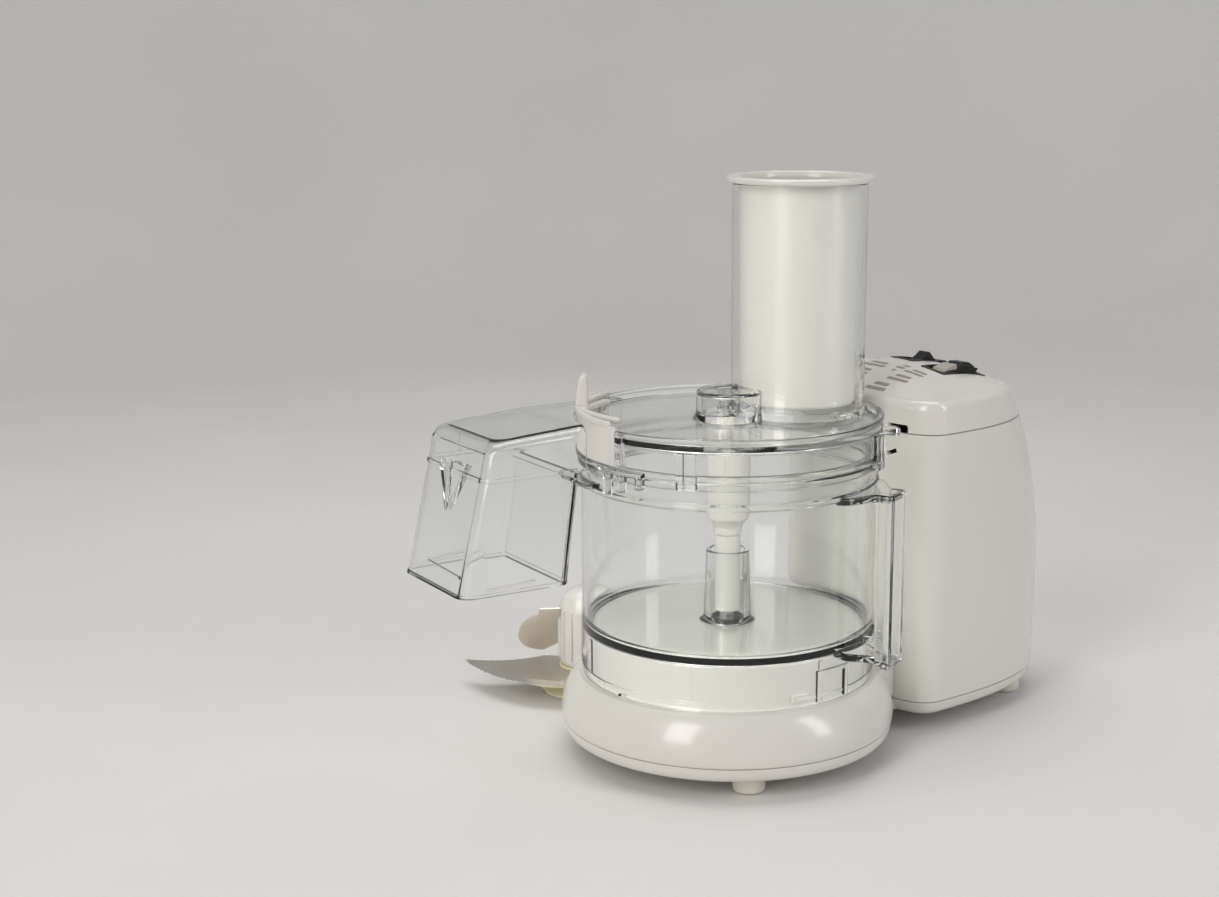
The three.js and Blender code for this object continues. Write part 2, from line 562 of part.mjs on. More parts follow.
// ---- assembly ----
const RUNNING = SHAFT.radius + 0.05;
piece("base_housing", baseHousing(), white);
piece("tower_cap", towerCap(), white);
piece("bottom_plate", bottomPlate(), white);
feet();
coverScrews();
piece("bowl", bowl(), clear);
piece("lid", lid(), clear);
piece("pusher", pusher(), white);
piece("chute_gate", chuteGate(), white);
piece("chute", chute(), clear);
piece("drive_shaft", driveShaft(), steel);
piece("disc_stem", discStem(), white);
piece("driven_pulley", drivenPulley(), greyPlastic);
piece("drive_belt", driveBelt(), darkRubber);
piece("shaft_bushing_upper", pipe(8.6, RUNNING, 52, 70), brass);
piece("shaft_bushing_lower", join(pipe(10.6, RUNNING, 19.2, 23.6), pipe(6.6, RUNNING, 15, 19.4)), brass);
piece("shaft_seal", pipe(8.4, SHAFT.radius + 0.3, 70.4, 75.4), darkRubber);
motor();
controls();
interlock();
piece("cord_inlet", along(pipe(6, 3.2, 0, 9), [-Math.PI / 2, 0, 0], [MOTOR.x, 58, 44]), darkRubber);
chopper();

const model = new THREE.Group();
model.add(machine);
export default model;
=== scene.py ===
"""Visual model of a bowl-and-tower food processor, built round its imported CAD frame.

Shapes are drawn in millimetres in machine coordinates: the drive axis is X = 0, Y = 0 and the motor tower stands
on the +X side. settle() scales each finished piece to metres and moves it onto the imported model's drive axis.
"""

import json
import math

import bmesh
import bpy
from mathutils import Matrix, Vector


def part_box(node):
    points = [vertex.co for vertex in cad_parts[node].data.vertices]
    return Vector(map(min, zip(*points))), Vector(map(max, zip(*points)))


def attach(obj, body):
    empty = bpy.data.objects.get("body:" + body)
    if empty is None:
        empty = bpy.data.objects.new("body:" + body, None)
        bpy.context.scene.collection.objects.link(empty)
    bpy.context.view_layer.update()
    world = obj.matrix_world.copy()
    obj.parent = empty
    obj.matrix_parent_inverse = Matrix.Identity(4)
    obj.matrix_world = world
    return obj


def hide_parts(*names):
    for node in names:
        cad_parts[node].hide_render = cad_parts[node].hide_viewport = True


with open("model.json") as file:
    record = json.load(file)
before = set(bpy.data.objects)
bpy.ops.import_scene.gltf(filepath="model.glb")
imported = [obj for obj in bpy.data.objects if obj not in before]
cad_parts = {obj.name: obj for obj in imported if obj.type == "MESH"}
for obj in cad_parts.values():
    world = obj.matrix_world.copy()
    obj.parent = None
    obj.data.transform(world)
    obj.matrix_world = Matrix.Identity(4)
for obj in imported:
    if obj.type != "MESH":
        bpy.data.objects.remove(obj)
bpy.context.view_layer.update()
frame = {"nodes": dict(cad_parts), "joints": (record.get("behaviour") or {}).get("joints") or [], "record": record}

MM = 0.001
JOINTS = {joint["name"]: joint for joint in frame["joints"]}
SLOTS = {part["node"]: part["material_slot"] for part in frame["record"]["subparts"]}
DRIVE = Vector(JOINTS["drive_spin"]["pos_m"]).to_2d()

# ---- driving dimensions, millimetres and degrees ----
STEPS = 160  # points round a turned piece
WALL = 2.4  # clear mouldings
TOWER = {"face": 92, "corner": 25, "half": 65, "reach": 236, "swell": 70,
         "seam": 181.8, "edge": 201.6, "crown": 213.2}
TOWER_AXIS = 150  # the motor's X
CROWN_AT = (146, 18)  # highest point of the cap
BASE = {"bottom": 10.2, "seam": 19, "ledge": 46.4, "deck": 73, "pedestal": 80}
NECK = 44  # half width of the joint between round base and tower
BOWL = {"radius": 85, "wall": 2.5, "foot": 47, "floor": 73.6, "rim": 176.2}
HANDLE = {"angle": -66, "inner": 96, "outer": 106, "half": 11, "low": 63, "high": 163}
LID = {"radius": 88, "ledge": 176.6, "plate": 193, "top": 200}
LID_LUGS = (-144, -60, 40)  # degrees round the rim
TUBE = {"x": 49, "y": -3.5, "radius": 38.9, "top": 328}
GATE = {"start": 112, "end": 185.5, "foot": 179.8, "top": 200, "finger": 143.5}
CHUTE_TURN = math.radians(5)  # away from -X
ROCKER_X = {"speed": 168, "pulse": 163}
ROCKER_Y = {"speed": 13, "pulse": -18.2}
ROCKER_SIZE = (37, 20)
PIVOT = 206
BLADE = {"x": -10.8, "y": 129.1, "hub": 17.2, "height": 68, "turn": 134}
FEET = [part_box(f"foot_{i}") for i in range(1, 5)]

# Camera relative to the drive axis, on the table: metres and radians.
CAMERA = {"at": (-0.6994, -0.8474, 0.4097), "yaw": 0.6276, "pitch": -0.2084, "roll": -0.0053, "lens": 57.45}


# ---- outlines ----
def polar(radius, degrees):
    angle = math.radians(degrees)
    return radius * math.cos(angle), radius * math.sin(angle)


def rounded(corners, closed=True, step=15):
    """A path through (x, y) or (x, y, radius) corners, with an arc at each corner that has a radius."""
    path = []
    for i, corner in enumerate(corners):
        here = Vector(corner[:2])
        radius = corner[2] if len(corner) > 2 else 0
        if not radius or (not closed and i in (0, len(corners) - 1)):
            path.append(tuple(here))
            continue
        before = Vector(corners[i - 1][:2]) - here
        after = Vector(corners[(i + 1) % len(corners)][:2]) - here
        turn = math.pi - before.angle(after)
        reach = min(radius * math.tan(turn / 2), before.length * 0.49, after.length * 0.49)
        radius = reach / math.tan(turn / 2)
        centre = here + (before.normalized() + after.normalized()).normalized() * (radius / math.cos(turn / 2))
        start = here + before.normalized() * reach - centre
        side = math.copysign(1, start.cross(here + after.normalized() * reach - centre))
        parts = max(2, round(math.degrees(turn) / step))
        for k in range(parts + 1):
            path.append(tuple(centre + Matrix.Rotation(side * turn * k / parts, 2) @ start))
    return path


def curve(points, parts=5):
    """A smooth open path through points, as a Catmull-Rom spline."""
    points = [Vector(p) for p in points]
    ends = [2 * points[0] - points[1], *points, 2 * points[-1] - points[-2]]
    path = []
    for a, b, c, d in zip(ends, ends[1:], ends[2:], ends[3:]):
        for k in range(parts):
            t = k / parts
            spot = 2 * b + (c - a) * t + (2 * a - 5 * b + 4 * c - d) * t**2 + (3 * b - a - 3 * c + d) * t**3
            path.append(tuple(spot / 2))
    return [*path, tuple(points[-1])]


def arc(radius, start, end, step=2.0):
    parts = max(2, math.ceil(abs(end - start) / step))
    return [polar(radius, start + (end - start) * i / parts) for i in range(parts + 1)]


# ---- solids: each call makes or changes one Blender object ----
def shape(points, faces):
    mesh = bpy.data.meshes.new("shape")
    mesh.from_pydata([tuple(p) for p in points], [], faces)
    build = bmesh.new()
    build.from_mesh(mesh)
    bmesh.ops.remove_doubles(build, verts=build.verts, dist=1e-5)
    bmesh.ops.recalc_face_normals(build, faces=build.faces)
    build.to_mesh(mesh)
    build.free()
    solid = bpy.data.objects.new("shape", mesh)
    bpy.context.scene.collection.objects.link(solid)
    return solid


def lathe(profile, at=(0, 0), steps=STEPS):
    """A turned solid about Z: the (radius, z) profile is a closed loop, or starts and ends on the axis."""
    loop = min(r for r, _ in profile) > 1e-6
    body = profile if loop else profile[1:-1]
    n = len(body)
    points, faces = [], []
    for i in range(steps):
        c, s = polar(1, 360 * i / steps)
        points += [(at[0] + r * c, at[1] + r * s, z) for r, z in body]
        j = (i + 1) % steps
        for k in range(n if loop else n - 1):
            m = (k + 1) % n
            faces.append((i * n + k, j * n + k, j * n + m, i * n + m))
    if not loop:
        for end, k in ((0, 0), (-1, n - 1)):
            points.append((at[0], at[1], profile[end][1]))
            faces += [(len(points) - 1, i * n + k, (i + 1) % steps * n + k) for i in range(steps)]
    return shape(points, faces)


def loft(rings):
    """A closed skin through rings of equal length, capped at both ends."""
    n = len(rings[0])
    faces = [tuple(range(n)), tuple(range((len(rings) - 1) * n, len(rings) * n))]
    for level in range(len(rings) - 1):
        for i in range(n):
            a, b = level * n + i, level * n + (i + 1) % n
            faces.append((a, b, b + n, a + n))
    return shape([p for ring in rings for p in ring], faces)


def prism(outline, low, high):
    return loft([[(x, y, z) for x, y in outline] for z in (low, high)])


def box(x0, x1, y0, y1, z0, z1, corner=0.0):
    corners = [(x0, y0, corner), (x1, y0, corner), (x1, y1, corner), (x0, y1, corner)]
    return prism(rounded(corners), z0, z1)


def disc(radius, low, high, at=(0, 0), soft=0.0, steps=96):
    corners = [(0, low), (radius, low, soft), (radius, high, soft), (0, high)]
    return lathe(rounded(corners, closed=False), at, steps)


def pipe(outer, inner, low, high, at=(0, 0), soft=0.4, steps=96):
    corners = [(inner, low, soft), (outer, low, soft), (outer, high, soft), (inner, high, soft)]
    return lathe(rounded(corners), at, steps)


def sector(inner, outer, low, high, start, end):
    return prism(arc(outer, start, end) + arc(inner, end, start), low, high)


def apply(solid):
    """Makes the object's modifiers part of its mesh."""
    graph = bpy.context.evaluated_depsgraph_get()
    old, solid.data = solid.data, bpy.data.meshes.new_from_object(solid.evaluated_get(graph))
    solid.modifiers.clear()
    bpy.data.meshes.remove(old)
    return solid


def soften(solid, width, segments=3, angle=35):
    bevel = solid.modifiers.new("soften", "BEVEL")
    bevel.width, bevel.segments, bevel.limit_method = width, segments, "ANGLE"
    bevel.angle_limit = math.radians(angle)
    return apply(solid)


def combine(solid, others, operation):
    for other in others:
        step = solid.modifiers.new("combine", "BOOLEAN")
        step.operation, step.solver, step.object = operation, "MANIFOLD", other
    apply(solid)
    for other in others:
        bpy.data.objects.remove(other)
    return solid


def weld(solid, *others):
    return combine(solid, others, "UNION")


def cut(solid, *others):
    return combine(solid, others, "DIFFERENCE")


def common(solid, *others):
    return combine(solid, others, "INTERSECT")


def turn(solid, degrees, axis="Z", about=(0, 0, 0)):
    there = Matrix.Translation(about)
    solid.data.transform(there @ Matrix.Rotation(math.radians(degrees), 4, axis) @ there.inverted())
    return solid


def shift(solid, x=0.0, y=0.0, z=0.0):
    solid.data.transform(Matrix.Translation((x, y, z)))
    return solid


def settle(solid, name, body, slot, *nodes, smooth=32):
    """Names a finished piece, scales it to metres in the row frame, gives it its slot's material, ties it to its
    body and hides the CAD nodes it stands for.
    """
    solid.name = solid.data.name = name
    solid.data.transform(Matrix.Translation((DRIVE.x, DRIVE.y, 0)) @ Matrix.Scale(MM, 4))
    solid.data.shade_smooth()
    solid.data.set_sharp_from_angle(angle=math.radians(smooth))
    solid.data.materials.clear()
    solid.data.materials.append(MATERIALS[slot])
    weigh = solid.modifiers.new("weighted", "WEIGHTED_NORMAL")
    weigh.keep_sharp, weigh.weight = True, 60
    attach(solid, body)
    if nodes:
        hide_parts(*nodes)
    return solid


# ---- materials ----
class Tree:
    """The node tree of one material, with its Principled shader."""

    def __init__(self, name):
        self.material = bpy.data.materials.new(name)
        self.material.use_nodes = True
        self.nodes, self.links = self.material.node_tree.nodes, self.material.node_tree.links
        self.shader = self.nodes["Principled BSDF"]
        self.place = self.node("ShaderNodeTexCoord").outputs["Object"]

    def node(self, kind, settings=None, **inputs):
        made = self.nodes.new(kind)
        for key, value in (settings or {}).items():
            setattr(made, key, value)
        for key, value in inputs.items():
            socket = made.inputs[key.replace("_", " ")]
            if isinstance(value, bpy.types.NodeSocket):
                self.links.new(value, socket)
            else:
                socket.default_value = value
        return made

    def noise(self, scale, detail=2.0, stretch=(1, 1, 1), roughness=0.5):
        """A noise value whose cells are 1/scale metres, stretched along each axis."""
        spread = self.node("ShaderNodeMapping", Vector=self.place, Scale=stretch).outputs["Vector"]
        return self.node("ShaderNodeTexNoise", Vector=spread, Scale=scale, Detail=detail,
                         Roughness=roughness).outputs["Fac"]

    def remap(self, value, low, high, start=0.3, end=0.7):
        return self.node("ShaderNodeMapRange", Value=value, From_Min=start, From_Max=end, To_Min=low,
                         To_Max=high).outputs["Result"]

    def mix(self, factor, a, b):
        made = self.node("ShaderNodeMix", {"data_type": "RGBA"})
        self.links.new(factor, made.inputs[0])
        for socket, value in ((made.inputs[6], a), (made.inputs[7], b)):
            if isinstance(value, bpy.types.NodeSocket):
                self.links.new(value, socket)
            else:
                socket.default_value = (*value, 1)
        return made.outputs[2]

    def drive(self, socket, value):
        self.links.new(value, self.shader.inputs[socket])

    def bump(self, height, strength, distance, under=None):
        extra = {"Normal": under} if under else {}
        made = self.node("ShaderNodeBump", Height=height, Strength=strength, Distance=distance, **extra)
        return made.outputs["Normal"]

    def edge(self, radius):
        """Normals that round every edge by this radius, in metres."""
        return self.node("ShaderNodeBevel", {"samples": 4}, Radius=radius).outputs["Normal"]

    def sockets(self, **values):
        for key, value in values.items():
            self.shader.inputs[key.replace("_", " ")].default_value = value


def shade(colour, factor):
    return tuple(min(1.0, c * factor) for c in colour)


def moulded(name, colour, roughness, grain=2600, depth=0.00002, strength=0.25, mottle=0.012, coat=0.0):
    """Injection-moulded plastic: slow colour drift, slightly uneven gloss, fine skin and softened edges."""
    tree = Tree(name)
    drift = tree.remap(tree.noise(9, 1), 0, 1, 0.2, 0.8)
    tree.drive("Base Color", tree.mix(drift, shade(colour, 1 - mottle), shade(colour, 1 + mottle)))
    tree.drive("Roughness", tree.remap(tree.noise(260, 3), roughness - 0.02, roughness + 0.03))
    skin = tree.bump(tree.noise(grain, 3), strength, depth, tree.edge(0.0005))
    tree.drive("Normal", skin)
    shine = 0.5 if max(colour) > 0.1 else 0.22  # dark plastic reflects less here
    tree.sockets(Coat_Weight=coat, Coat_Roughness=0.08, IOR=1.52, Specular_IOR_Level=shine)
    return tree.material


def clear_plastic(name, tint):
    """Clear styrene: bends light, with faint flow ripple and rubbed haze. Lamps shine through it."""
    tree = Tree(name)
    tree.sockets(Base_Color=(*tint, 1), Transmission_Weight=1.0, IOR=1.47, Specular_IOR_Level=0.62)
    haze = tree.remap(tree.noise(30, 5, roughness=0.7), 0.0, 0.05, 0.45, 0.75)
    scratches = tree.remap(tree.noise(120, 4, (1, 1, 14)), 0.0, 0.06, 0.62, 0.8)
    both = tree.node("ShaderNodeMath", {"operation": "ADD"})
    tree.links.new(haze, both.inputs[0])
    tree.links.new(scratches, both.inputs[1])
    tree.drive("Roughness", tree.remap(both.outputs[0], 0.02, 0.12, 0, 0.1))
    tree.drive("Normal", tree.bump(tree.noise(22, 1), 0.10, 0.0006, tree.edge(0.0006)))
    let_through = tree.node("ShaderNodeBsdfTransparent", Color=(0.90, 0.91, 0.90, 1))
    join = tree.node("ShaderNodeMixShader")
    tree.links.new(tree.node("ShaderNodeLightPath").outputs["Is Shadow Ray"], join.inputs[0])
    tree.links.new(tree.shader.outputs[0], join.inputs[1])
    tree.links.new(let_through.outputs[0], join.inputs[2])
    tree.links.new(join.outputs[0], tree.nodes["Material Output"].inputs["Surface"])
    return tree.material


def metal(name, colour, roughness, scale=700, stretch=(1, 1, 1), strength=0.2, stain=0.12):
    """Bare metal with streaks along its grinding direction and a faint stain."""
    tree = Tree(name)
    tree.sockets(Metallic=1.0)
    streak = tree.noise(scale, 3, stretch)
    stained = tree.mix(tree.remap(tree.noise(24, 4), 0, 1), shade(colour, 1 - stain), shade(colour, 1 + stain))
    tree.drive("Base Color", tree.mix(tree.remap(streak, 0, 0.6), stained, shade(colour, 0.8)))
    tree.drive("Roughness", tree.remap(streak, roughness - 0.06, roughness + 0.1))
    tree.drive("Normal", tree.bump(streak, strength, 0.00004, tree.edge(0.0003)))
    return tree.material


def banded(name, colour, metallic, roughness, bands, axis="Z"):
    """Layered or wound metal: fine bands across one axis."""
    tree = Tree(name)
    tree.sockets(Metallic=metallic)
    wave = tree.node("ShaderNodeTexWave", {"bands_direction": axis}, Vector=tree.place, Scale=bands, Distortion=0.4,
                     Detail=1.0).outputs["Fac"]
    tree.drive("Base Color", tree.mix(wave, shade(colour, 0.62), colour))
    tree.drive("Roughness", tree.remap(wave, roughness + 0.12, roughness, 0, 1))
    tree.drive("Normal", tree.bump(wave, 0.5, 0.0002))
    return tree.material


WHITE = (0.70, 0.675, 0.635)
MATERIALS = {
    "white_plastic": moulded("white_plastic", WHITE, 0.22, coat=0.4),
    "cream_plastic": moulded("cream_plastic", (0.78, 0.71, 0.50), 0.34, mottle=0.05),
    "clear_plastic": clear_plastic("clear_plastic", (0.975, 0.985, 0.98)),
    "black_plastic": moulded("black_plastic", (0.018, 0.017, 0.017), 0.32, grain=1500, strength=0.5, mottle=0.2),
    "grey_plastic": moulded("grey_plastic", (0.42, 0.38, 0.34), 0.36, grain=1500, strength=0.5, mottle=0.08),
    "foot_rubber": moulded("foot_rubber", (0.70, 0.66, 0.58), 0.62, grain=1800, strength=0.5, mottle=0.06),
    "black_rubber": moulded("black_rubber", (0.022, 0.022, 0.022), 0.7, grain=1400, strength=0.7, mottle=0.2),
    "steel": metal("steel", (0.62, 0.60, 0.57), 0.26, 500, (1, 1, 12)),
    "blade_steel": metal("blade_steel", (0.66, 0.61, 0.55), 0.3, 420, (9, 1, 9), 0.35, 0.1),
    "satin_steel": metal("satin_steel", (0.80, 0.74, 0.66), 0.4, 420, (9, 1, 9), 0.3, 0.06),
    "ground_steel": metal("ground_steel", (0.86, 0.83, 0.78), 0.2, 420, (9, 1, 9), 0.3, 0.06),
    "lamination": banded("lamination", (0.30, 0.28, 0.27), 0.8, 0.4, 320),
    "copper": banded("copper", (0.62, 0.27, 0.12), 1.0, 0.3, 240, "X"),
    "bronze": metal("bronze", (0.66, 0.47, 0.22), 0.38, 1600, strength=0.4),
    "ink": moulded("ink", (0.30, 0.26, 0.235), 0.45, mottle=0.12),
}


# ---- tower plan: a nearly flat face towards the bowl and a round far side, deeper towards the foot ----
def tower_ring(z, inset=0.0, shrink=1.0, reach_z=None, count=160):
    """The tower's outline at a height, or at reach_z's depth when that is given."""
    at = z if reach_z is None else reach_z
    over = max(0, (at - TOWER["swell"]) / (TOWER["edge"] - TOWER["swell"]))
    under = max(0, (TOWER["swell"] - at) / TOWER["swell"])
    reach = TOWER["reach"] - 36 * over**2.4 - 3 * under**2
    middle = TOWER["face"] + TOWER["corner"]
    ring = []
    for i in range(count):
        c, s = polar(1, 360 * (i + 0.5) / count)
        bulge = 2 / 2.5 if c > 0 else 2 / 3.3
        depth = (reach - middle if c > 0 else TOWER["corner"]) - inset
        x = middle + depth * math.copysign(abs(c) ** bulge, c)
        y = (TOWER["half"] - inset) * math.copysign(abs(s) ** bulge, s)
        ring.append((*(c + (p - c) * shrink for p, c in zip((x, y), CROWN_AT)), z))
    return ring


def levels(low, high, parts):
    return [low + (high - low) * i / parts for i in range(parts + 1)]


def crown(lift=0.0, inset=0.0):
    """Rings that shrink towards the cap's highest point."""
    rise = TOWER["crown"] - TOWER["edge"]
    return [tower_ring(TOWER["edge"] + lift + rise * (1 - k * k), 5.2 + inset, k, TOWER["edge"])
            for k in (0.98, 0.95, 0.9, 0.8, 0.7, 0.6, 0.5, 0.4, 0.3, 0.2, 0.1, 0.03)]


def cap_skin(lift=0.0):
    """The cap's outside as a solid, with its crown raised by lift."""
    foot = TOWER["seam"] + 0.4
    side = [tower_ring(foot, 0.5), tower_ring(foot + 0.5, 0.05), *(tower_ring(z, 0.9 * (z - foot) / 14)
            for z in levels(foot + 1.4, 195.6, 6))]
    brow = []
    for k in range(1, 9):
        angle = math.radians(90 * k / 8)
        brow.append(tower_ring(195.8 + 5.8 * math.sin(angle), 0.9 + 4.3 * (1 - math.cos(angle))))
    return loft([*side, *brow, *crown(lift)])


# ---- base ----
def vent_slots(first_x, pitch, count):
    """Cutters for upright slots 3 mm wide through the tower's back wall."""
    starts = [first_x + i * pitch for i in range(count)]
    return [soften(box(x, x + 3, 56, 70, 92, 124), 0.5) for x in starts]


def base_housing():
    """Round base, pedestal under the bowl, neck and motor tower, hollow inside, as one moulding."""
    ledge, deck, pedestal, seam = BASE["ledge"], BASE["deck"], BASE["pedestal"], BASE["seam"]
    side = curve([(97.3, 19.8), (97.6, 23), (97.1, 28.5), (95.4, 35), (92.7, 40.5), (89.6, 44.6)])
    outer = rounded([(0, seam), (96.8, seam, 0.4), *side, (87.6, ledge, 1.5), (pedestal, ledge + 0.3, 1.2),
                     (pedestal, deck, 2.6), (0, deck)], closed=False)
    inner = [(0, seam - 1), (94, seam - 1), *((r - 2.8, z - 0.8) for r, z in side), (pedestal - 2.8, 43.6),
             (pedestal - 2.8, deck - 2.8), (0, deck - 2.8)]
    tower = loft([tower_ring(seam, 0.4), *(tower_ring(z) for z in levels(seam + 0.4, TOWER["seam"] - 0.5, 30)),
                  tower_ring(TOWER["seam"], 0.5)])
    inside_levels = levels(seam - 1, TOWER["seam"] + 1, 12)
    tower_inside = loft([tower_ring(z, 2.8, 1, min(z, TOWER["seam"])) for z in inside_levels])
    neck = soften(box(70, 106, -NECK, NECK, seam, 43.4), 3)
    passage = box(60, 112, 2.8 - NECK, NECK - 2.8, seam - 1, 40.6)
    lugs = [turn(soften(box(pedestal - 1, 82, -5, 5, 50, 54), 0.5), a) for a in (20, 140, 260)]
    housing = weld(lathe(outer), neck, tower, *lugs)
    cut(housing, lathe(inner), tower_inside, passage)
    weld(housing, disc(15, 50, deck - 1))
    inlet = turn(disc(6.4, 0, 20), -90, "X")
    sight_slot = turn(soften(box(88, 98, -41.5, -34, 168.6, 171, 0.9), 0.3), -22, "X", (92, -37.7, 169.8))
    vents = vent_slots(128, 6.4, 9)
    cut(housing, disc(9, 40, deck + 1), shift(inlet, TOWER_AXIS, 52, 44), sight_slot, *vents)
    settle(housing, "base_housing_shell", "base", "white_plastic", "base_housing")


def rocker_pocket(name, grow, low, high, corner):
    half = [side / 2 + grow for side in ROCKER_SIZE]
    x, y = ROCKER_X[name], ROCKER_Y[name]
    return box(x - half[0], x + half[0], y - half[1], y + half[1], low, high, corner)


def tower_cap():
    """The tower's top above its upper seam, with the recesses for the rockers and the notch for the lid's tab."""
    foot = TOWER["seam"] + 0.4
    inside = loft([tower_ring(foot - 1, 2.8, 1, foot), tower_ring(191, 3.4), tower_ring(195, 4.2),
                   tower_ring(198.4, 7.4), *crown(-2.8, 3)])
    notch = soften(box(TOWER["face"] - 2, TOWER["face"] + 16, -48.5, -34.5, foot - 2, 187), 0.6)
    recesses = [rocker_pocket(name, 0, 190, 222, 1.4) for name in ROCKER_Y]
    cap = cut(cap_skin(), inside, notch, *recesses)
    settle(cap, "tower_cap_shell", "base", "white_plastic", "tower_cap", smooth=24)


def printed_marks():
    """Plain rows of bars and dots beside the rockers, where the real cap has its setting words."""
    rows = [(130, 14.4, 19), (117, 12.6, 11), (104.5, -14, 16), (117.5, -19, 17), (131, -19, 15), (134, -5, 7)]
    outlines = []
    for x, y, length in rows:
        for dx, share in ((-2.6, 1), (2.6, 0.72)):
            half = length * share / 2
            outlines.append(rounded([(x + dx - 1.5, y - half, 0.8), (x + dx + 1.5, y - half, 0.8),
                                     (x + dx + 1.5, y + half, 0.8), (x + dx - 1.5, y + half, 0.8)]))
    outlines += [[(x + u, y + v) for u, v in arc(1.5, 0, 345, 15)] for x, y in ((125.5, -5), (141.5, 26))]
    for i, outline in enumerate(outlines, 1):
        mark = cut(common(prism(outline, 195, 220), cap_skin(0.07)), cap_skin(0.0))
        settle(mark, f"printed_mark_{i}", "base", "ink")


def bottom_plate():
    low, top = BASE["bottom"], BASE["seam"] - 0.4
    side = curve([(92.4, low + 0.1), (94.8, 11.8), (96.2, 14.6), (96.7, 17.8)])
    outer = rounded([(0, low), (91, low), *side, (96.7, top, 0.3), (0, top)], closed=False)
    inner = [(0, 13.2), (91, 13.2), (93.4, 16), (94, top + 1), (0, top + 1)]
    seam = BASE["seam"]
    skin = ((low, 6.4), (10.7, 4.4), (11.6, 2.8), (13, 1.5), (15, 0.7), (top - 0.4, 0.2), (top, 0.6))
    tower = loft([tower_ring(z, inset, 1, seam) for z, inset in skin])
    tower_inside = loft([tower_ring(z, inset, 1, seam) for z, inset in ((13.2, 8), (15.6, 4.6), (top + 1, 3))])
    neck = soften(box(70, 104, -NECK, NECK, low + 1, top), 1.2)
    plate = weld(lathe(outer), tower, neck)
    cut(plate, lathe(inner), tower_inside, box(80, 108, 2.8 - NECK, NECK - 2.8, 13.2, top + 1))
    weld(plate, pipe(11, 7, 12, top))
    grille = [box(x, x + 3, -24, 24, 8, 16) for x in levels(128, 176, 8)]
    screw_wells = [disc(4.6, 8, 11.6, at) for at in ((128, 46), (128, -46))]
    ring_groove = pipe(60, 57.5, 9.6, 10.9)
    cut(plate, *grille, *screw_wells, ring_groove)
    settle(plate, "bottom_plate_shell", "base", "white_plastic", "bottom_plate", smooth=28)


def feet():
    for i, (low, high) in enumerate(FEET, 1):
        at = [((low[k] + high[k]) / 2 - DRIVE[k]) / MM for k in (0, 1)]
        profile = rounded([(0, 0.6), (3.4, 0.6, 0.4), (4.2, 0, 0.5), (8.8, 0, 0.8), (9.3, 4, 1), (8.9, 9.8, 0.4),
                           (0, 9.8)], closed=False)
        settle(lathe(profile, at, 72), f"foot_pad_{i}", "base", "foot_rubber", f"foot_{i}")


# ---- controls ----
def rocker_block(side, half):
    """A rocker's side outline, drawn about its pivot, made 2 * half wide."""
    return soften(turn(prism(rounded(side, step=12), -half, half), 90, "X"), 0.6, angle=50)


def rocker(name, body, piece, slot):
    shift(body, ROCKER_X[name], ROCKER_Y[name], PIVOT)
    settle(body, f"{name}_rocker_{piece}", f"{name}_rocker", slot, f"{name}_rocker")


def bezels():
    """Black frames lining the cap's recesses, each with a hole for its rocker's stem."""
    for name in ROCKER_Y:
        x, y = ROCKER_X[name], ROCKER_Y[name]
        lining = common(rocker_pocket(name, -0.1, 199.6, 218, 1.2), cap_skin(0.5))
        well = rocker_pocket(name, -2.2, 201.2, 222, 0.8)
        stem_hole = box(x - 5, x + 5, y - 4, y + 4, 198, 204)
        settle(cut(lining, well, stem_hole), f"{name}_bezel_frame", "base", "black_plastic", f"{name}_bezel")


def controls():
    bezels()
    plate = [(-15, 3.4, 0.5), (-10, -1.6, 1), (10, -1.6, 1), (15, 3.4, 0.5), (8, 4.2, 4), (-8, 4.2, 4)]
    fin = [(-12, 3), (9, 3), (6, 5.6, 3), (2.6, 9.6, 1.2), (0.6, 10.2, 1.4), (-2.4, 8, 3), (-8, 4.8, 4)]
    roller = [(-3, 3), (-2, 5.6, 1.5), (2, 8, 2.6), (8, 7.6, 3), (13, 4.4, 1.4), (13, 3)]
    face = [(-13.6, 3.2, 0.3), (-4, 3.6), (-2, 4.8, 0.5), (-2.6, 7.6, 0.8), (-12, 5.4, 0.8)]
    rocker("speed", weld(rocker_block(plate, 7), rocker_block(fin, 4)), "cap", "black_plastic")
    rocker("pulse", weld(rocker_block(plate, 7), rocker_block(roller, 5.6)), "cap", "black_plastic")
    rocker("pulse", rocker_block(face, 5.4), "face", "grey_plastic")


# ---- bowl ----
def handle():
    inner, outer, half, low, high = (HANDLE[k] for k in ("inner", "outer", "half", "low", "high"))
    grip = soften(box(inner, outer, -half, half, low, high, 3.2), 1.4)
    hollow = soften(box(inner - 3, outer - 2.8, 2.6 - half, half - 2.6, low + 3, high - 3, 2), 0.8)
    web = rounded([(78, -29), (86, -27, 6), (93, -15, 12), (98, -9.4, 4), (103, -9.4), (103, 9.4), (98, 9.4, 4),
                   (93, 15, 12), (86, 27, 6), (78, 29)])
    upper = soften(prism(web, high - 4.4, high), 0.9)
    rise = [[(x, y, z + (103 - x) * 0.42) for x, y in web] for z in (low, low + 4.4)]
    lower = soften(loft(rise), 0.9)
    keel = soften(box(80, inner + 3, -1.3, 1.3, low + 7, low + 15), 0.5)
    body = weld(cut(grip, hollow), upper, lower, keel)
    return turn(cut(body, disc(BOWL["radius"] - 1.2, low - 2, high + 2, steps=STEPS)), HANDLE["angle"])


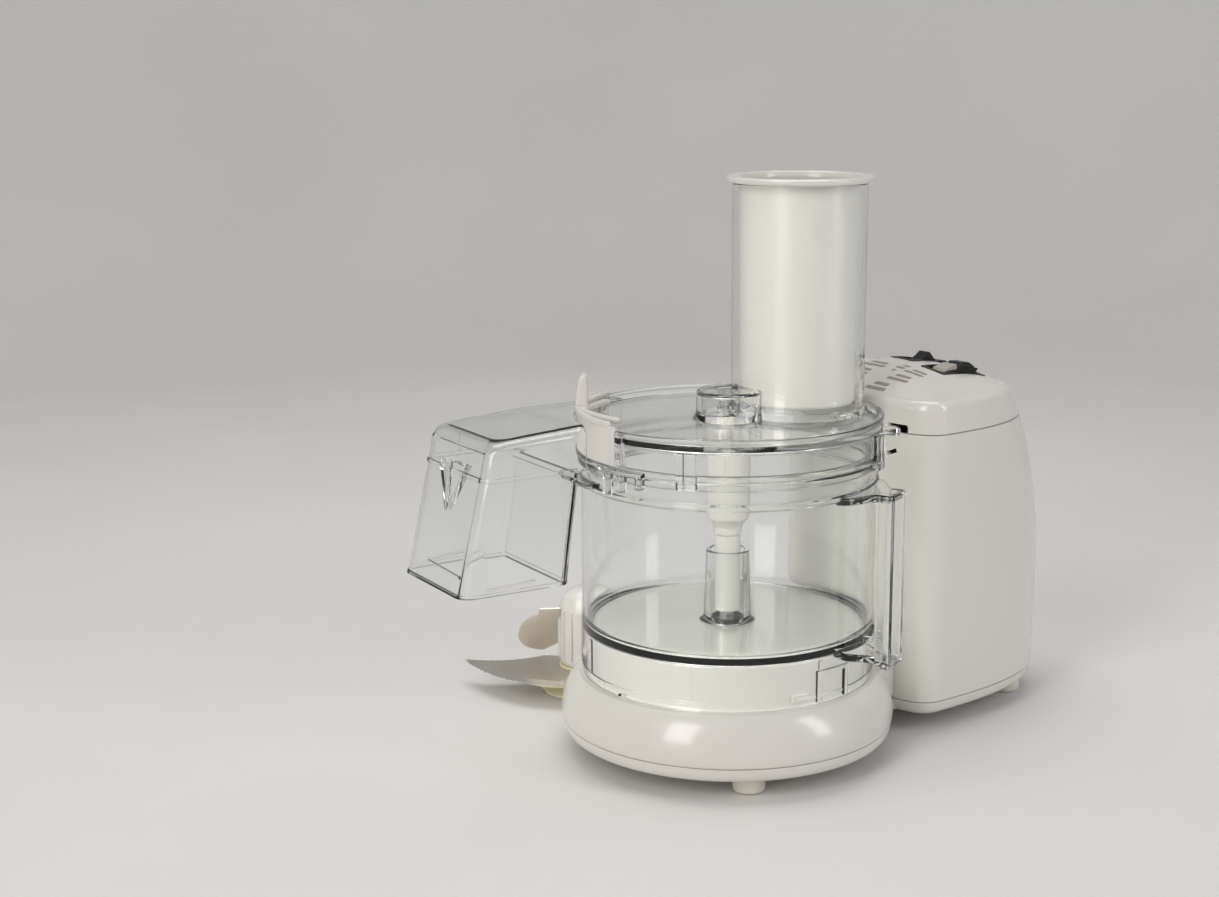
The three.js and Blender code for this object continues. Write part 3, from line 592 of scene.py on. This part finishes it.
def bowl():
    radius, foot, floor, rim = (BOWL[k] for k in ("radius", "foot", "floor", "rim"))
    inner = radius - BOWL["wall"]
    shell = lathe(rounded([
        (inner, foot, 0.7), (radius, foot, 0.7), (radius, 51, 0.4), (radius + 0.5, 51.4, 0.3),
        (radius + 0.5, 52.6, 0.3), (radius, 53, 0.4), (radius, 160.2, 0.8), (radius + 1.4, 161.2, 0.8),
        (radius + 1.4, 163.2, 0.8),
        (radius, 164.2, 0.8), (radius, 171.4, 0.8), (87.6, 172.4, 0.8), (87.6, 175.2, 0.8), (radius, rim, 0.6),
        (inner, rim, 0.8), (inner, floor + 2.6, 6), (14, floor + 2.6, 3), (12.4, 118, 0.9), (10, 118, 0.6),
        (10, floor, 0.8), (inner, floor, 1.2)]))
    ribs = [soften(sector(radius - 0.6, radius + 0.6, foot + 6, floor - 1, a - 0.9, a + 0.9), 0.3)
            for a in [165 + 360 / 7 * i for i in range(7)]]
    catch = [sector(radius - 0.6, radius + 1.6, 49, 67, a - 1.2, a + 1.2) for a in (-93, -79)]
    catch.append(sector(radius - 0.6, radius + 1.6, 64.6, 67, -93, -79))
    weld(shell, handle(), *ribs, *(soften(c, 0.4) for c in catch))
    cut(shell, sector(inner - 1, radius + 1, foot - 1, foot + 2, -175, -171))
    settle(shell, "bowl_moulding", "bowl", "clear_plastic", "bowl", smooth=30)


# ---- lid ----
def lid_shell():
    inside, ledge, plate, top = LID["radius"] - WALL, LID["ledge"], LID["plate"], LID["top"]
    return lathe(rounded([
        (0, plate), (inside, plate, 2), (inside, ledge + 2.6, 1), (79.6, ledge + 2.6, 0.8), (79.6, 163, 0.7),
        (81.9, 163, 0.7), (81.9, ledge, 0.8), (88.6, ledge, 0.7), (88.6, ledge + 2.6, 0.6), (88, ledge + 3.2, 0.4),
        (88, top - 2.6, 0.4), (88.6, top - 2.2, 0.4), (88.6, top, 0.9), (84.8, top, 0.9), (83.8, plate + 2.6, 1.4),
        (0, plate + 2.6)], closed=False))


def lid():
    plate, top, ledge = LID["plate"], LID["top"], LID["ledge"]
    at, radius = (TUBE["x"], TUBE["y"]), TUBE["radius"]
    body = cut(lid_shell(), disc(15, plate - 1, plate + 4))
    hub = lathe(rounded([(15, plate - 1, 0.3), (20.6, plate + 1), (20.6, plate + 2.7, 0.3), (18.9, plate + 6, 3),
                         (18.6, 212.4, 1.8), (6.4, 212.4, 0.4), (6.4, 210, 0.3), (15, 209.6, 1.4)]), steps=128)
    button = lathe(rounded([(0, 209.4), (7, 209.4), (7, 211.6, 0.6), (0, 211.6)], closed=False), steps=96)
    socket = pipe(6.6, 4.8, 199, 210.4)
    tube = lathe(rounded([(radius - WALL, plate - 3), (radius, plate - 3, 0.5), (radius + 3, plate + 1),
                          (radius + 3, plate + 2.7, 0.2), (radius, plate + 6, 3), (radius, TUBE["top"], 0.9),
                          (radius - WALL, TUBE["top"], 0.9)]), at, 144)
    bore = disc(radius - WALL, plate - 5, TUBE["top"] + 1, at, steps=144)
    rails = [soften(sector(87, 91, 181, 199, a - 1.6, a + 1.6), 0.5) for a in (GATE["start"] - 4, GATE["end"] + 3.6)]
    lugs = [soften(sector(86, 91.6, 172.6, 192.6, a - 3.6, a + 3.6), 0.8) for a in LID_LUGS]
    lug_lines = [sector(89.4, 92, 171, 194, a - 0.9, a - 0.1) for a in LID_LUGS]
    tab = turn(soften(box(86, 102.2, -4.5, 4.5, 181.6, 186), 0.8), -25.5)
    tab = cut(tab, box(93.4, 110, -90, 0, 180, 195))
    hooks = [soften(sector(87, 91.6, low, 179, a - 1.5, a + 1.5), 0.6)
             for a, low in ((183, 164), (190, 167), (198, 170))]
    shelf = soften(sector(87, 92.6, 177, 179.4, 180, 200), 0.6)
    dimple = soften(disc(6, plate + 1, plate + 6.4, (80 - 2.4, -15.6)), 2.2, angle=60)
    cut(body, sector(80, 92, ledge + 2.6, top + 2, GATE["start"] - 1, GATE["end"] + 1))
    cut(body, disc(radius - 0.6, plate - 5, plate + 4, at))
    opening_edge = soften(sector(77.6, 84.8, plate, plate + 2.6, GATE["start"] - 3, GATE["end"] + 3), 0.3)
    weld(body, hub, button, socket, tube, tab, *rails, *lugs, *hooks, shelf, dimple, opening_edge)
    cut(body, bore, *lug_lines)
    settle(body, "lid_moulding", "lid", "clear_plastic", "lid", smooth=30)


def pusher():
    profile = [(0, 200.6), (33.2, 200.6, 2.6), (34.2, 264, 40), (35.2, 328.4, 0.3), (41.8, 328.4, 0.5),
               (42.4, 329.6, 0.6), (42.4, 331.2, 0.8), (41, 332, 0.8), (34.6, 332, 1.4), (33.2, 329, 2),
               (31.4, 203.1, 3), (0, 203.1)]
    body = lathe(rounded(profile, closed=False), (TUBE["x"], TUBE["y"]), 144)
    settle(body, "pusher_cup", "pusher", "white_plastic", "pusher")


def gate_arm(points, width):
    """A rounded bar lying on the lid's rim along (radius, angle) points."""
    path = [Vector(polar(r, a)) for r, a in curve(points, 6)]
    left, right = [], []
    for i, spot in enumerate(path):
        along = (path[min(i + 1, len(path) - 1)] - path[max(i - 1, 0)]).normalized()
        side = Vector((-along.y, along.x)) * width / 2
        left.append(tuple(spot + side))
        right.append(tuple(spot - side))
    first, last = LID["top"] + 0.5, LID["top"] + 4
    return soften(prism(left + right[::-1], first, last), width * 0.36, 4, 50)


def chute_gate():
    start, end, foot, top, finger_at = (GATE[k] for k in ("start", "end", "foot", "top", "finger"))
    panel = soften(sector(85.9, 88, foot, top + 1.4, start, end), 0.5)
    ribs = [soften(sector(84.9, 88.6, foot, top + 0.2, a, a + 2.4), 0.5) for a in (start, end - 2.4)]
    arms = [gate_arm([(86, finger_at), (83.4, 128), (82, 112)], 4.2),
            gate_arm([(84, 150), (77, 140), (71, 130)], 4.2),
            gate_arm([(86, 148), (82, 160), (78.6, 170), (76, 178)], 4.6),
            gate_arm([(87.2, 115), (87.2, 182)], 3)]
    side = rounded([(-3, 200.6), (3.4, 200.6), (4.2, 206, 8), (3.6, 213, 10), (2.2, 219.6, 3), (0, 221.8, 1.6),
                    (-2.2, 221, 1.6), (-3.2, 214, 10), (-3, 207, 8)])
    finger = soften(shift(turn(prism(side, -6.4, 6.4), 90, "X"), 83.6), 2.4, 4)
    root = gate_arm([(85, finger_at - 6), (85, finger_at + 8)], 6)
    body = weld(panel, *ribs, *arms, root, turn(finger, finger_at))
    settle(body, "chute_gate_panel", "gate", "white_plastic", "chute_gate")


# ---- chute: local u runs outward from the lid and v towards the back ----
CHUTE_LOW = {"z": 109, "u": (101, 167.5), "v": (10.5, 86.5)}
CHUTE_SHOULDER = {"z": 174, "u": (91.5, 152), "v": (10.5, 87.5)}
CHUTE_TOP = {"z": 198, "u": (90, 148), "v": (10.5, 88)}
CHUTE_DROP = 3.6  # how much lower the top is at its outer end
CHUTE_SLOPE = (90, 52)  # the top slopes from this u, over this length
DUCT_BEND = 180  # the duct's points above this height follow the slope
CHUTE_CORNER, CHUTE_FILLET = 8.5, 7.5  # outside radii; the inside ones follow
INNER_CORNER, INNER_FILLET = 6.2, 5.2


def chute_point(u, v, z):
    c, s = math.cos(CHUTE_TURN), math.sin(CHUTE_TURN)
    return (-c * u + s * v, s * u + c * v, z)


def chute_size(z):
    """The hood's outer (u0, u1, v0, v1) at a height."""
    a, b = (CHUTE_LOW, CHUTE_SHOULDER) if z < CHUTE_SHOULDER["z"] else (CHUTE_SHOULDER, CHUTE_TOP)
    t = (z - a["z"]) / (b["z"] - a["z"])
    return [a[k][i] + (b[k][i] - a[k][i]) * t for k in "uv" for i in (0, 1)]


def chute_ring(z, inset, corner, size_z=None):
    u0, u1, v0, v1 = chute_size(z if size_z is None else size_z)
    u0, u1, v0, v1 = u0 + inset, u1 - inset, v0 + inset, v1 - inset
    slope = CHUTE_DROP * max(0, z - CHUTE_SHOULDER["z"]) / (CHUTE_TOP["z"] - CHUTE_SHOULDER["z"])
    outline = rounded([(u0, v0, corner * 0.5), (u1, v0, corner), (u1, v1, corner), (u0, v1, corner * 0.5)], step=11)
    start, length = CHUTE_SLOPE
    return [chute_point(u, v, z - slope * max(0, (u - start) / length)) for u, v in outline]


def hood(inset, low, corner, fillet):
    """The hood as a solid, inset by a wall's thickness for its inside."""
    top = CHUTE_TOP["z"] - inset
    heights = (low, 140, 171, CHUTE_SHOULDER["z"], 180, top - fillet)
    rings = [chute_ring(z, inset, corner, max(z, CHUTE_LOW["z"])) for z in heights]
    for k in range(1, 8):
        angle = math.radians(90 * k / 7)
        z = top - fillet + fillet * math.sin(angle)
        rings.append(chute_ring(z, inset + fillet * (1 - math.cos(angle)), corner, top))
    return loft(rings)


def duct(inset, low, fillet):
    """The level passage from the lid into the hood, under the hood's sloping top."""
    v0, v1, top = CHUTE_TOP["v"][0] + inset, CHUTE_TOP["v"][1] - inset, CHUTE_TOP["z"] - inset
    side = rounded([(v0, low), (v1, low), (v1, top, fillet), (v0, top, fillet)])
    start, length = CHUTE_SLOPE
    slope = CHUTE_DROP / length
    rings = []
    for u in (20, 90, 128):
        rings.append([chute_point(u, v, z - slope * max(0, u - start) * (z > DUCT_BEND)) for v, z in side])
    return loft(rings)


def plate_on_wall(corners, inward, thickness):
    """A thin fin on the hood's sloping outer wall from (v, z) corners."""
    rings = []
    for depth in (inward, inward + thickness):
        rings.append([chute_point(chute_size(z)[1] - depth, v, z) for v, z in corners])
    return loft(rings)


def chute_ribs():
    """A bar low on the hood's outer wall, one on each side wall, and two fins inside under the top."""
    bars = [plate_on_wall([(18, 119.6), (58, 120.6), (58, 122), (18, 121)], -0.9, 1.6)]
    for v, u0, u1 in ((9.9, 122, 153), (85.6, 118, 150)):
        ends = [(u0, 113.6), (u1, 112.4), (u1, 113.8), (u0, 115)]
        bars.append(loft([[chute_point(u, v + dv, z) for u, z in ends] for dv in (0, 1.6)]))
    corners = ([(70, 176), (62, 176), (52, 150)], [(56, 177), (38, 177), (51, 151)])
    fins = [plate_on_wall(fin, 1.6, 5.4) for fin in corners]
    return [soften(solid, 0.35) for solid in (*bars, *fins)]


def bead(z, height, proud):
    """A raised line round the hood."""
    return soften(loft([chute_ring(level, -proud, CHUTE_CORNER + proud) for level in (z, z + height)]), 0.4)


def chute():
    low = CHUTE_LOW["z"]
    body = weld(hood(0, low, CHUTE_CORNER, CHUTE_FILLET), bead(low, 2.2, 0.7), bead(172.6, 2.4, 0.9),
                duct(0, 173, CHUTE_FILLET))
    cut(body, hood(WALL, low - 4, INNER_CORNER, INNER_FILLET), duct(WALL, 168, INNER_FILLET))
    rings = []
    for u, z in ((101, low), (93, 172)):
        rings.append([chute_point(*p, z) for p in ((u, 12.5), (u + WALL, 12.5), (u + WALL, 85), (u, 85))])
    inner_wall = loft(rings)
    flange = soften(sector(87, 97, 166, 168.4, 152, 178), 0.5)
    weld(body, inner_wall, flange, *chute_ribs())
    rail_gap = sector(80, 92.4, 160, 204, GATE["end"] + 1, GATE["end"] + 9)
    cut(body, disc(LID["radius"] + 0.9, 100, 210, steps=STEPS), rail_gap)
    settle(body, "chute_hood", "chute", "clear_plastic", "chute", smooth=30)


# ---- drive parts that show through the bowl ----
def stem():
    body = lathe(rounded([
        (4.7, 82, 0.3), (7.5, 82, 0.5), (7.5, 127, 0.8), (8.4, 128, 0.4), (8.4, 132, 0.6), (9.4, 134, 0.5),
        (12, 137.4, 1.2), (12.7, 145, 2), (12.9, 187, 1.6), (10, 189, 1), (4, 189, 0.6), (4, 195, 0.8), (1.5, 195),
        (1.5, 127), (4.7, 127, 0.4)]), steps=96)
    flutes = [turn(disc(1.1, 152, 184, (13.6, 0), steps=20), 45 * i) for i in range(8)]
    settle(cut(body, *flutes), "disc_stem_sleeve", "drive", "white_plastic", "disc_stem")


def shaft():
    low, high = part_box("drive_shaft")
    bottom, top = low.z / MM, high.z / MM
    profile = rounded([(0, bottom), (4.5, bottom, 0.5), (4.5, top, 1.1), (0, top)], closed=False)
    flat = box(3.7, 6, -5, 5, top - 34, top + 1)
    settle(cut(lathe(profile, steps=72), flat), "drive_shaft_rod", "drive", "steel", "drive_shaft")


# ---- S-blade ----
def blade_hub():
    hub, height = BLADE["hub"], BLADE["height"]
    at = (BLADE["x"], BLADE["y"])
    dome = curve([(hub - 1, height - 11), (hub - 3.2, height - 6), (hub - 7, height - 2.6),
                  (hub - 11, height - 0.8)], 4)
    core = lathe(rounded([(0, 17.6), (hub - 1.6, 17.6, 0.8), (hub - 0.4, 20, 1), (hub - 0.4, height - 14, 3),
                          *dome, (0, height)], closed=False), at, 120)
    ribs = []
    for i in range(16):
        rib = soften(box(hub - 2, hub + 0.7, -0.9, 0.9, 22, height - 14), 0.5)
        ribs.append(shift(turn(rib, 22.5 * i), *at))
    bore = disc(8.5, 10, 56, at)
    body = cut(weld(core, *ribs), bore)
    settle(body, "blade_hub_grip", "chopper", "white_plastic", "blade_hub")


def blade_foot():
    at = (BLADE["x"], BLADE["y"])
    skirt = curve([(28, 0.6), (27.6, 1.8), (23, 4.4), (19.4, 7.4), (17.4, 11), (16.7, 17.2)], 4)
    flare = lathe([(12.5, 0), (27.4, 0), *skirt, (12.5, 17.2)], steps=120)
    arm = soften(prism(rounded([(0, 14), (3, 40, 4), (20, 40, 8), (36, 32, 6), (14, 2)]), 12.2, 14.6), 0.6)
    cut(arm, disc(13, 10, 20))
    notches = [turn(soften(box(24, 30, -2.5, 2.5, -1, 1.4), 0.4), a) for a in (30, 150, 270)]
    body = shift(turn(cut(weld(flare, arm), *notches), BLADE["turn"]), *at)
    settle(body, "blade_foot_skirt", "chopper", "cream_plastic", "blade_skirt")


def bezier(a, b, c, d, parts):
    a, b, c, d = (Vector(p) for p in (a, b, c, d))
    spots = []
    for k in range(parts + 1):
        t = k / parts
        spots.append(a * (1 - t) ** 3 + b * 3 * t * (1 - t) ** 2 + c * 3 * t * t * (1 - t) + d * t**3)
    return spots


def sickle():
    """The lower blade: a bowed serrated edge, ground thin along its outer 6 mm."""
    edge = bezier((2, 43), (24, 47), (56, 38), (79.2, 0), 88)
    back = bezier((79.2, 0), (62, 4), (44, 0), (30, -13), 24)
    teeth, ground = [], []
    for k, spot in enumerate(edge):
        ahead, behind = edge[min(k + 1, 88)], edge[max(k - 1, 0)]
        normal = Vector((behind.y - ahead.y, ahead.x - behind.x)).normalized()
        fade = min(1, (88 - k) / 12)
        bite = 1.5 * abs(math.sin(math.pi * k / 4)) * fade
        teeth.append(spot - normal * bite)
        ground.append(spot - normal * 6.4 * fade)
    low, high, thin = 15.0, 16.4, 15.15
    rest = [tuple(p) for p in back[1:]] + [(14, -13), (0, 14)]
    bottom = [(*p, low) for p in teeth] + [(*p, low) for p in rest]
    rim = [(*p, thin) for p in teeth] + [(*p, high) for p in rest]
    top = [(*p, high) for p in ground] + [(*p, high) for p in rest]
    n = len(bottom)
    faces = [tuple(range(n)), tuple(range(2 * n, 3 * n))]
    for level in (0, 1):
        for i in range(n):
            a, b = level * n + i, level * n + (i + 1) % n
            faces.append((a, b, b + n, a + n))
    blade = shape(bottom + rim + top, faces)
    cut(blade, disc(17, 10, 20))
    droop = Matrix.Identity(4)
    droop[2][0] = -1.6 / 79.2
    blade.data.transform(droop)
    shift(turn(blade, BLADE["turn"]), BLADE["x"], BLADE["y"])
    settle(blade, "blade_lower_sickle", "chopper", "blade_steel", "blade_lower", smooth=6)
    blade.data.materials.append(MATERIALS["ground_steel"])
    for face in blade.data.polygons:
        face.material_index = 1 if abs(face.normal.z) < 0.993 else 0


def raised_blade():
    """The upper blade: a rounded ear on a flat shank, the whole plate tilted up, with softened edges where the real
    one has a ground rim.
    """
    tip = bezier((30, 12.8), (42, 9), (47, -6), (40, -14), 18)
    tail = bezier((40, -14), (36.6, -17), (32, -18.2), (27, -18.2), 8)
    outline = [(15, 19), (29, 18.6), *(tuple(p) for p in tip), *(tuple(p) for p in tail[1:]), (15, -10)]
    blade = soften(prism(outline, 0, 1.4), 0.35, 2, 50)
    turn(blade, 62, "X")
    cut(shift(blade, z=38.5), disc(BLADE["hub"] + 0.5, 10, 80))
    shift(turn(blade, 144), BLADE["x"], BLADE["y"])
    settle(blade, "blade_upper_ear", "chopper", "blade_steel", "blade_upper")
    blade.data.materials[0] = MATERIALS["satin_steel"]


# ---- CAD pieces that keep their shape ----
def dress_cad_nodes():
    """Gives the CAD pieces that no visual piece replaces their material and a fine edge."""
    for name, node in frame["nodes"].items():
        if node.hide_render:
            continue
        node.data.materials.clear()
        node.data.materials.append(MATERIALS[SLOTS[name]])
        bevel = node.modifiers.new("edges", "BEVEL")
        bevel.width, bevel.segments, bevel.angle_limit = 0.25 * MM, 2, math.radians(40)
        bevel.limit_method, bevel.harden_normals = "ANGLE", True


# ---- studio ----
def camera():
    yaw, pitch, roll = CAMERA["yaw"], CAMERA["pitch"], CAMERA["roll"]
    forward = Vector((math.sin(yaw) * math.cos(pitch), math.cos(yaw) * math.cos(pitch), math.sin(pitch)))
    right = forward.cross(Vector((0, 0, 1))).normalized()
    up = right.cross(forward)
    right, up = right * math.cos(roll) + up * math.sin(roll), up * math.cos(roll) - right * math.sin(roll)
    data = bpy.data.cameras.new("camera")
    data.sensor_width, data.lens = 36, CAMERA["lens"]
    eye = bpy.data.objects.new("camera", data)
    rows = Matrix((right, up, -forward)).transposed().to_4x4()
    eye.matrix_world = Matrix.Translation(Vector(CAMERA["at"]) + Vector((*DRIVE, 0))) @ rows
    bpy.context.scene.collection.objects.link(eye)
    bpy.context.scene.camera = eye


def lathe_open(profile, steps=128):
    """A turned surface that starts on the axis and stays open at its end."""
    points, faces = [(0, 0, profile[0][1])], []
    body = profile[1:]
    n = len(body)
    for i in range(steps):
        c, s = polar(1, 360 * i / steps)
        points += [(r * c, r * s, z) for r, z in body]
        a, b = 1 + i * n, 1 + (i + 1) % steps * n
        faces.append((0, a, b))
        faces += [(a + k, a + k + 1, b + k + 1, b + k) for k in range(n - 1)]
    surface = shape(points, faces)
    surface.name = surface.data.name = "stage_floor"
    surface.data.shade_smooth()
    return surface


def backdrop():
    """A pale round stage whose floor curves up into a wall on every side."""
    metres = [(0, -0.0004), (2.0, -0.0004, 0.9), (2.6, 1.9, 1.6), (2.6, 3.2)]
    stage = lathe_open(rounded(metres, closed=False, step=6))
    tree = Tree("backdrop_paper")
    patches = tree.remap(tree.noise(3, 2), 0, 1)
    tree.drive("Base Color", tree.mix(patches, (0.73, 0.72, 0.70), (0.76, 0.75, 0.73)))
    tree.drive("Roughness", tree.remap(tree.noise(40, 3), 0.55, 0.7))
    stage.data.materials.append(tree.material)


def softbox(name, place, target, size, watts, colour):
    light = bpy.data.lights.new(name, "AREA")
    light.shape, light.size, light.size_y, light.energy, light.color = "RECTANGLE", *size, watts, colour
    lamp = bpy.data.objects.new(name, light)
    lamp.location = place
    lamp.rotation_euler = (Vector(target) - Vector(place)).to_track_quat("-Z", "Y").to_euler()
    bpy.context.scene.collection.objects.link(lamp)


def studio():
    softbox("key", (-1.6, -0.55, 1.0), (0, 0, 0.2), (0.6, 1.5), 15, (1, 0.985, 0.96))
    softbox("fill", (0.8, -1.55, 0.9), (0.05, 0, 0.2), (0.4, 1.4), 8, (0.97, 0.985, 1))
    softbox("top", (0.1, 0.35, 1.75), (0, 0, 0.1), (1.5, 1.0), 13, (1, 0.99, 0.97))
    world = bpy.data.worlds.new("world")
    world.use_nodes = True
    world.node_tree.nodes["Background"].inputs["Color"].default_value = (0.9, 0.93, 1, 1)
    world.node_tree.nodes["Background"].inputs["Strength"].default_value = 0.30
    bpy.context.scene.world = world
    bpy.context.scene.view_settings.view_transform = "Standard"


camera()
base_housing()
tower_cap()
printed_marks()
bottom_plate()
feet()
controls()
bowl()
lid()
pusher()
chute_gate()
chute()
stem()
shaft()
blade_hub()
blade_foot()
sickle()
raised_blade()
dress_cad_nodes()
backdrop()
studio()
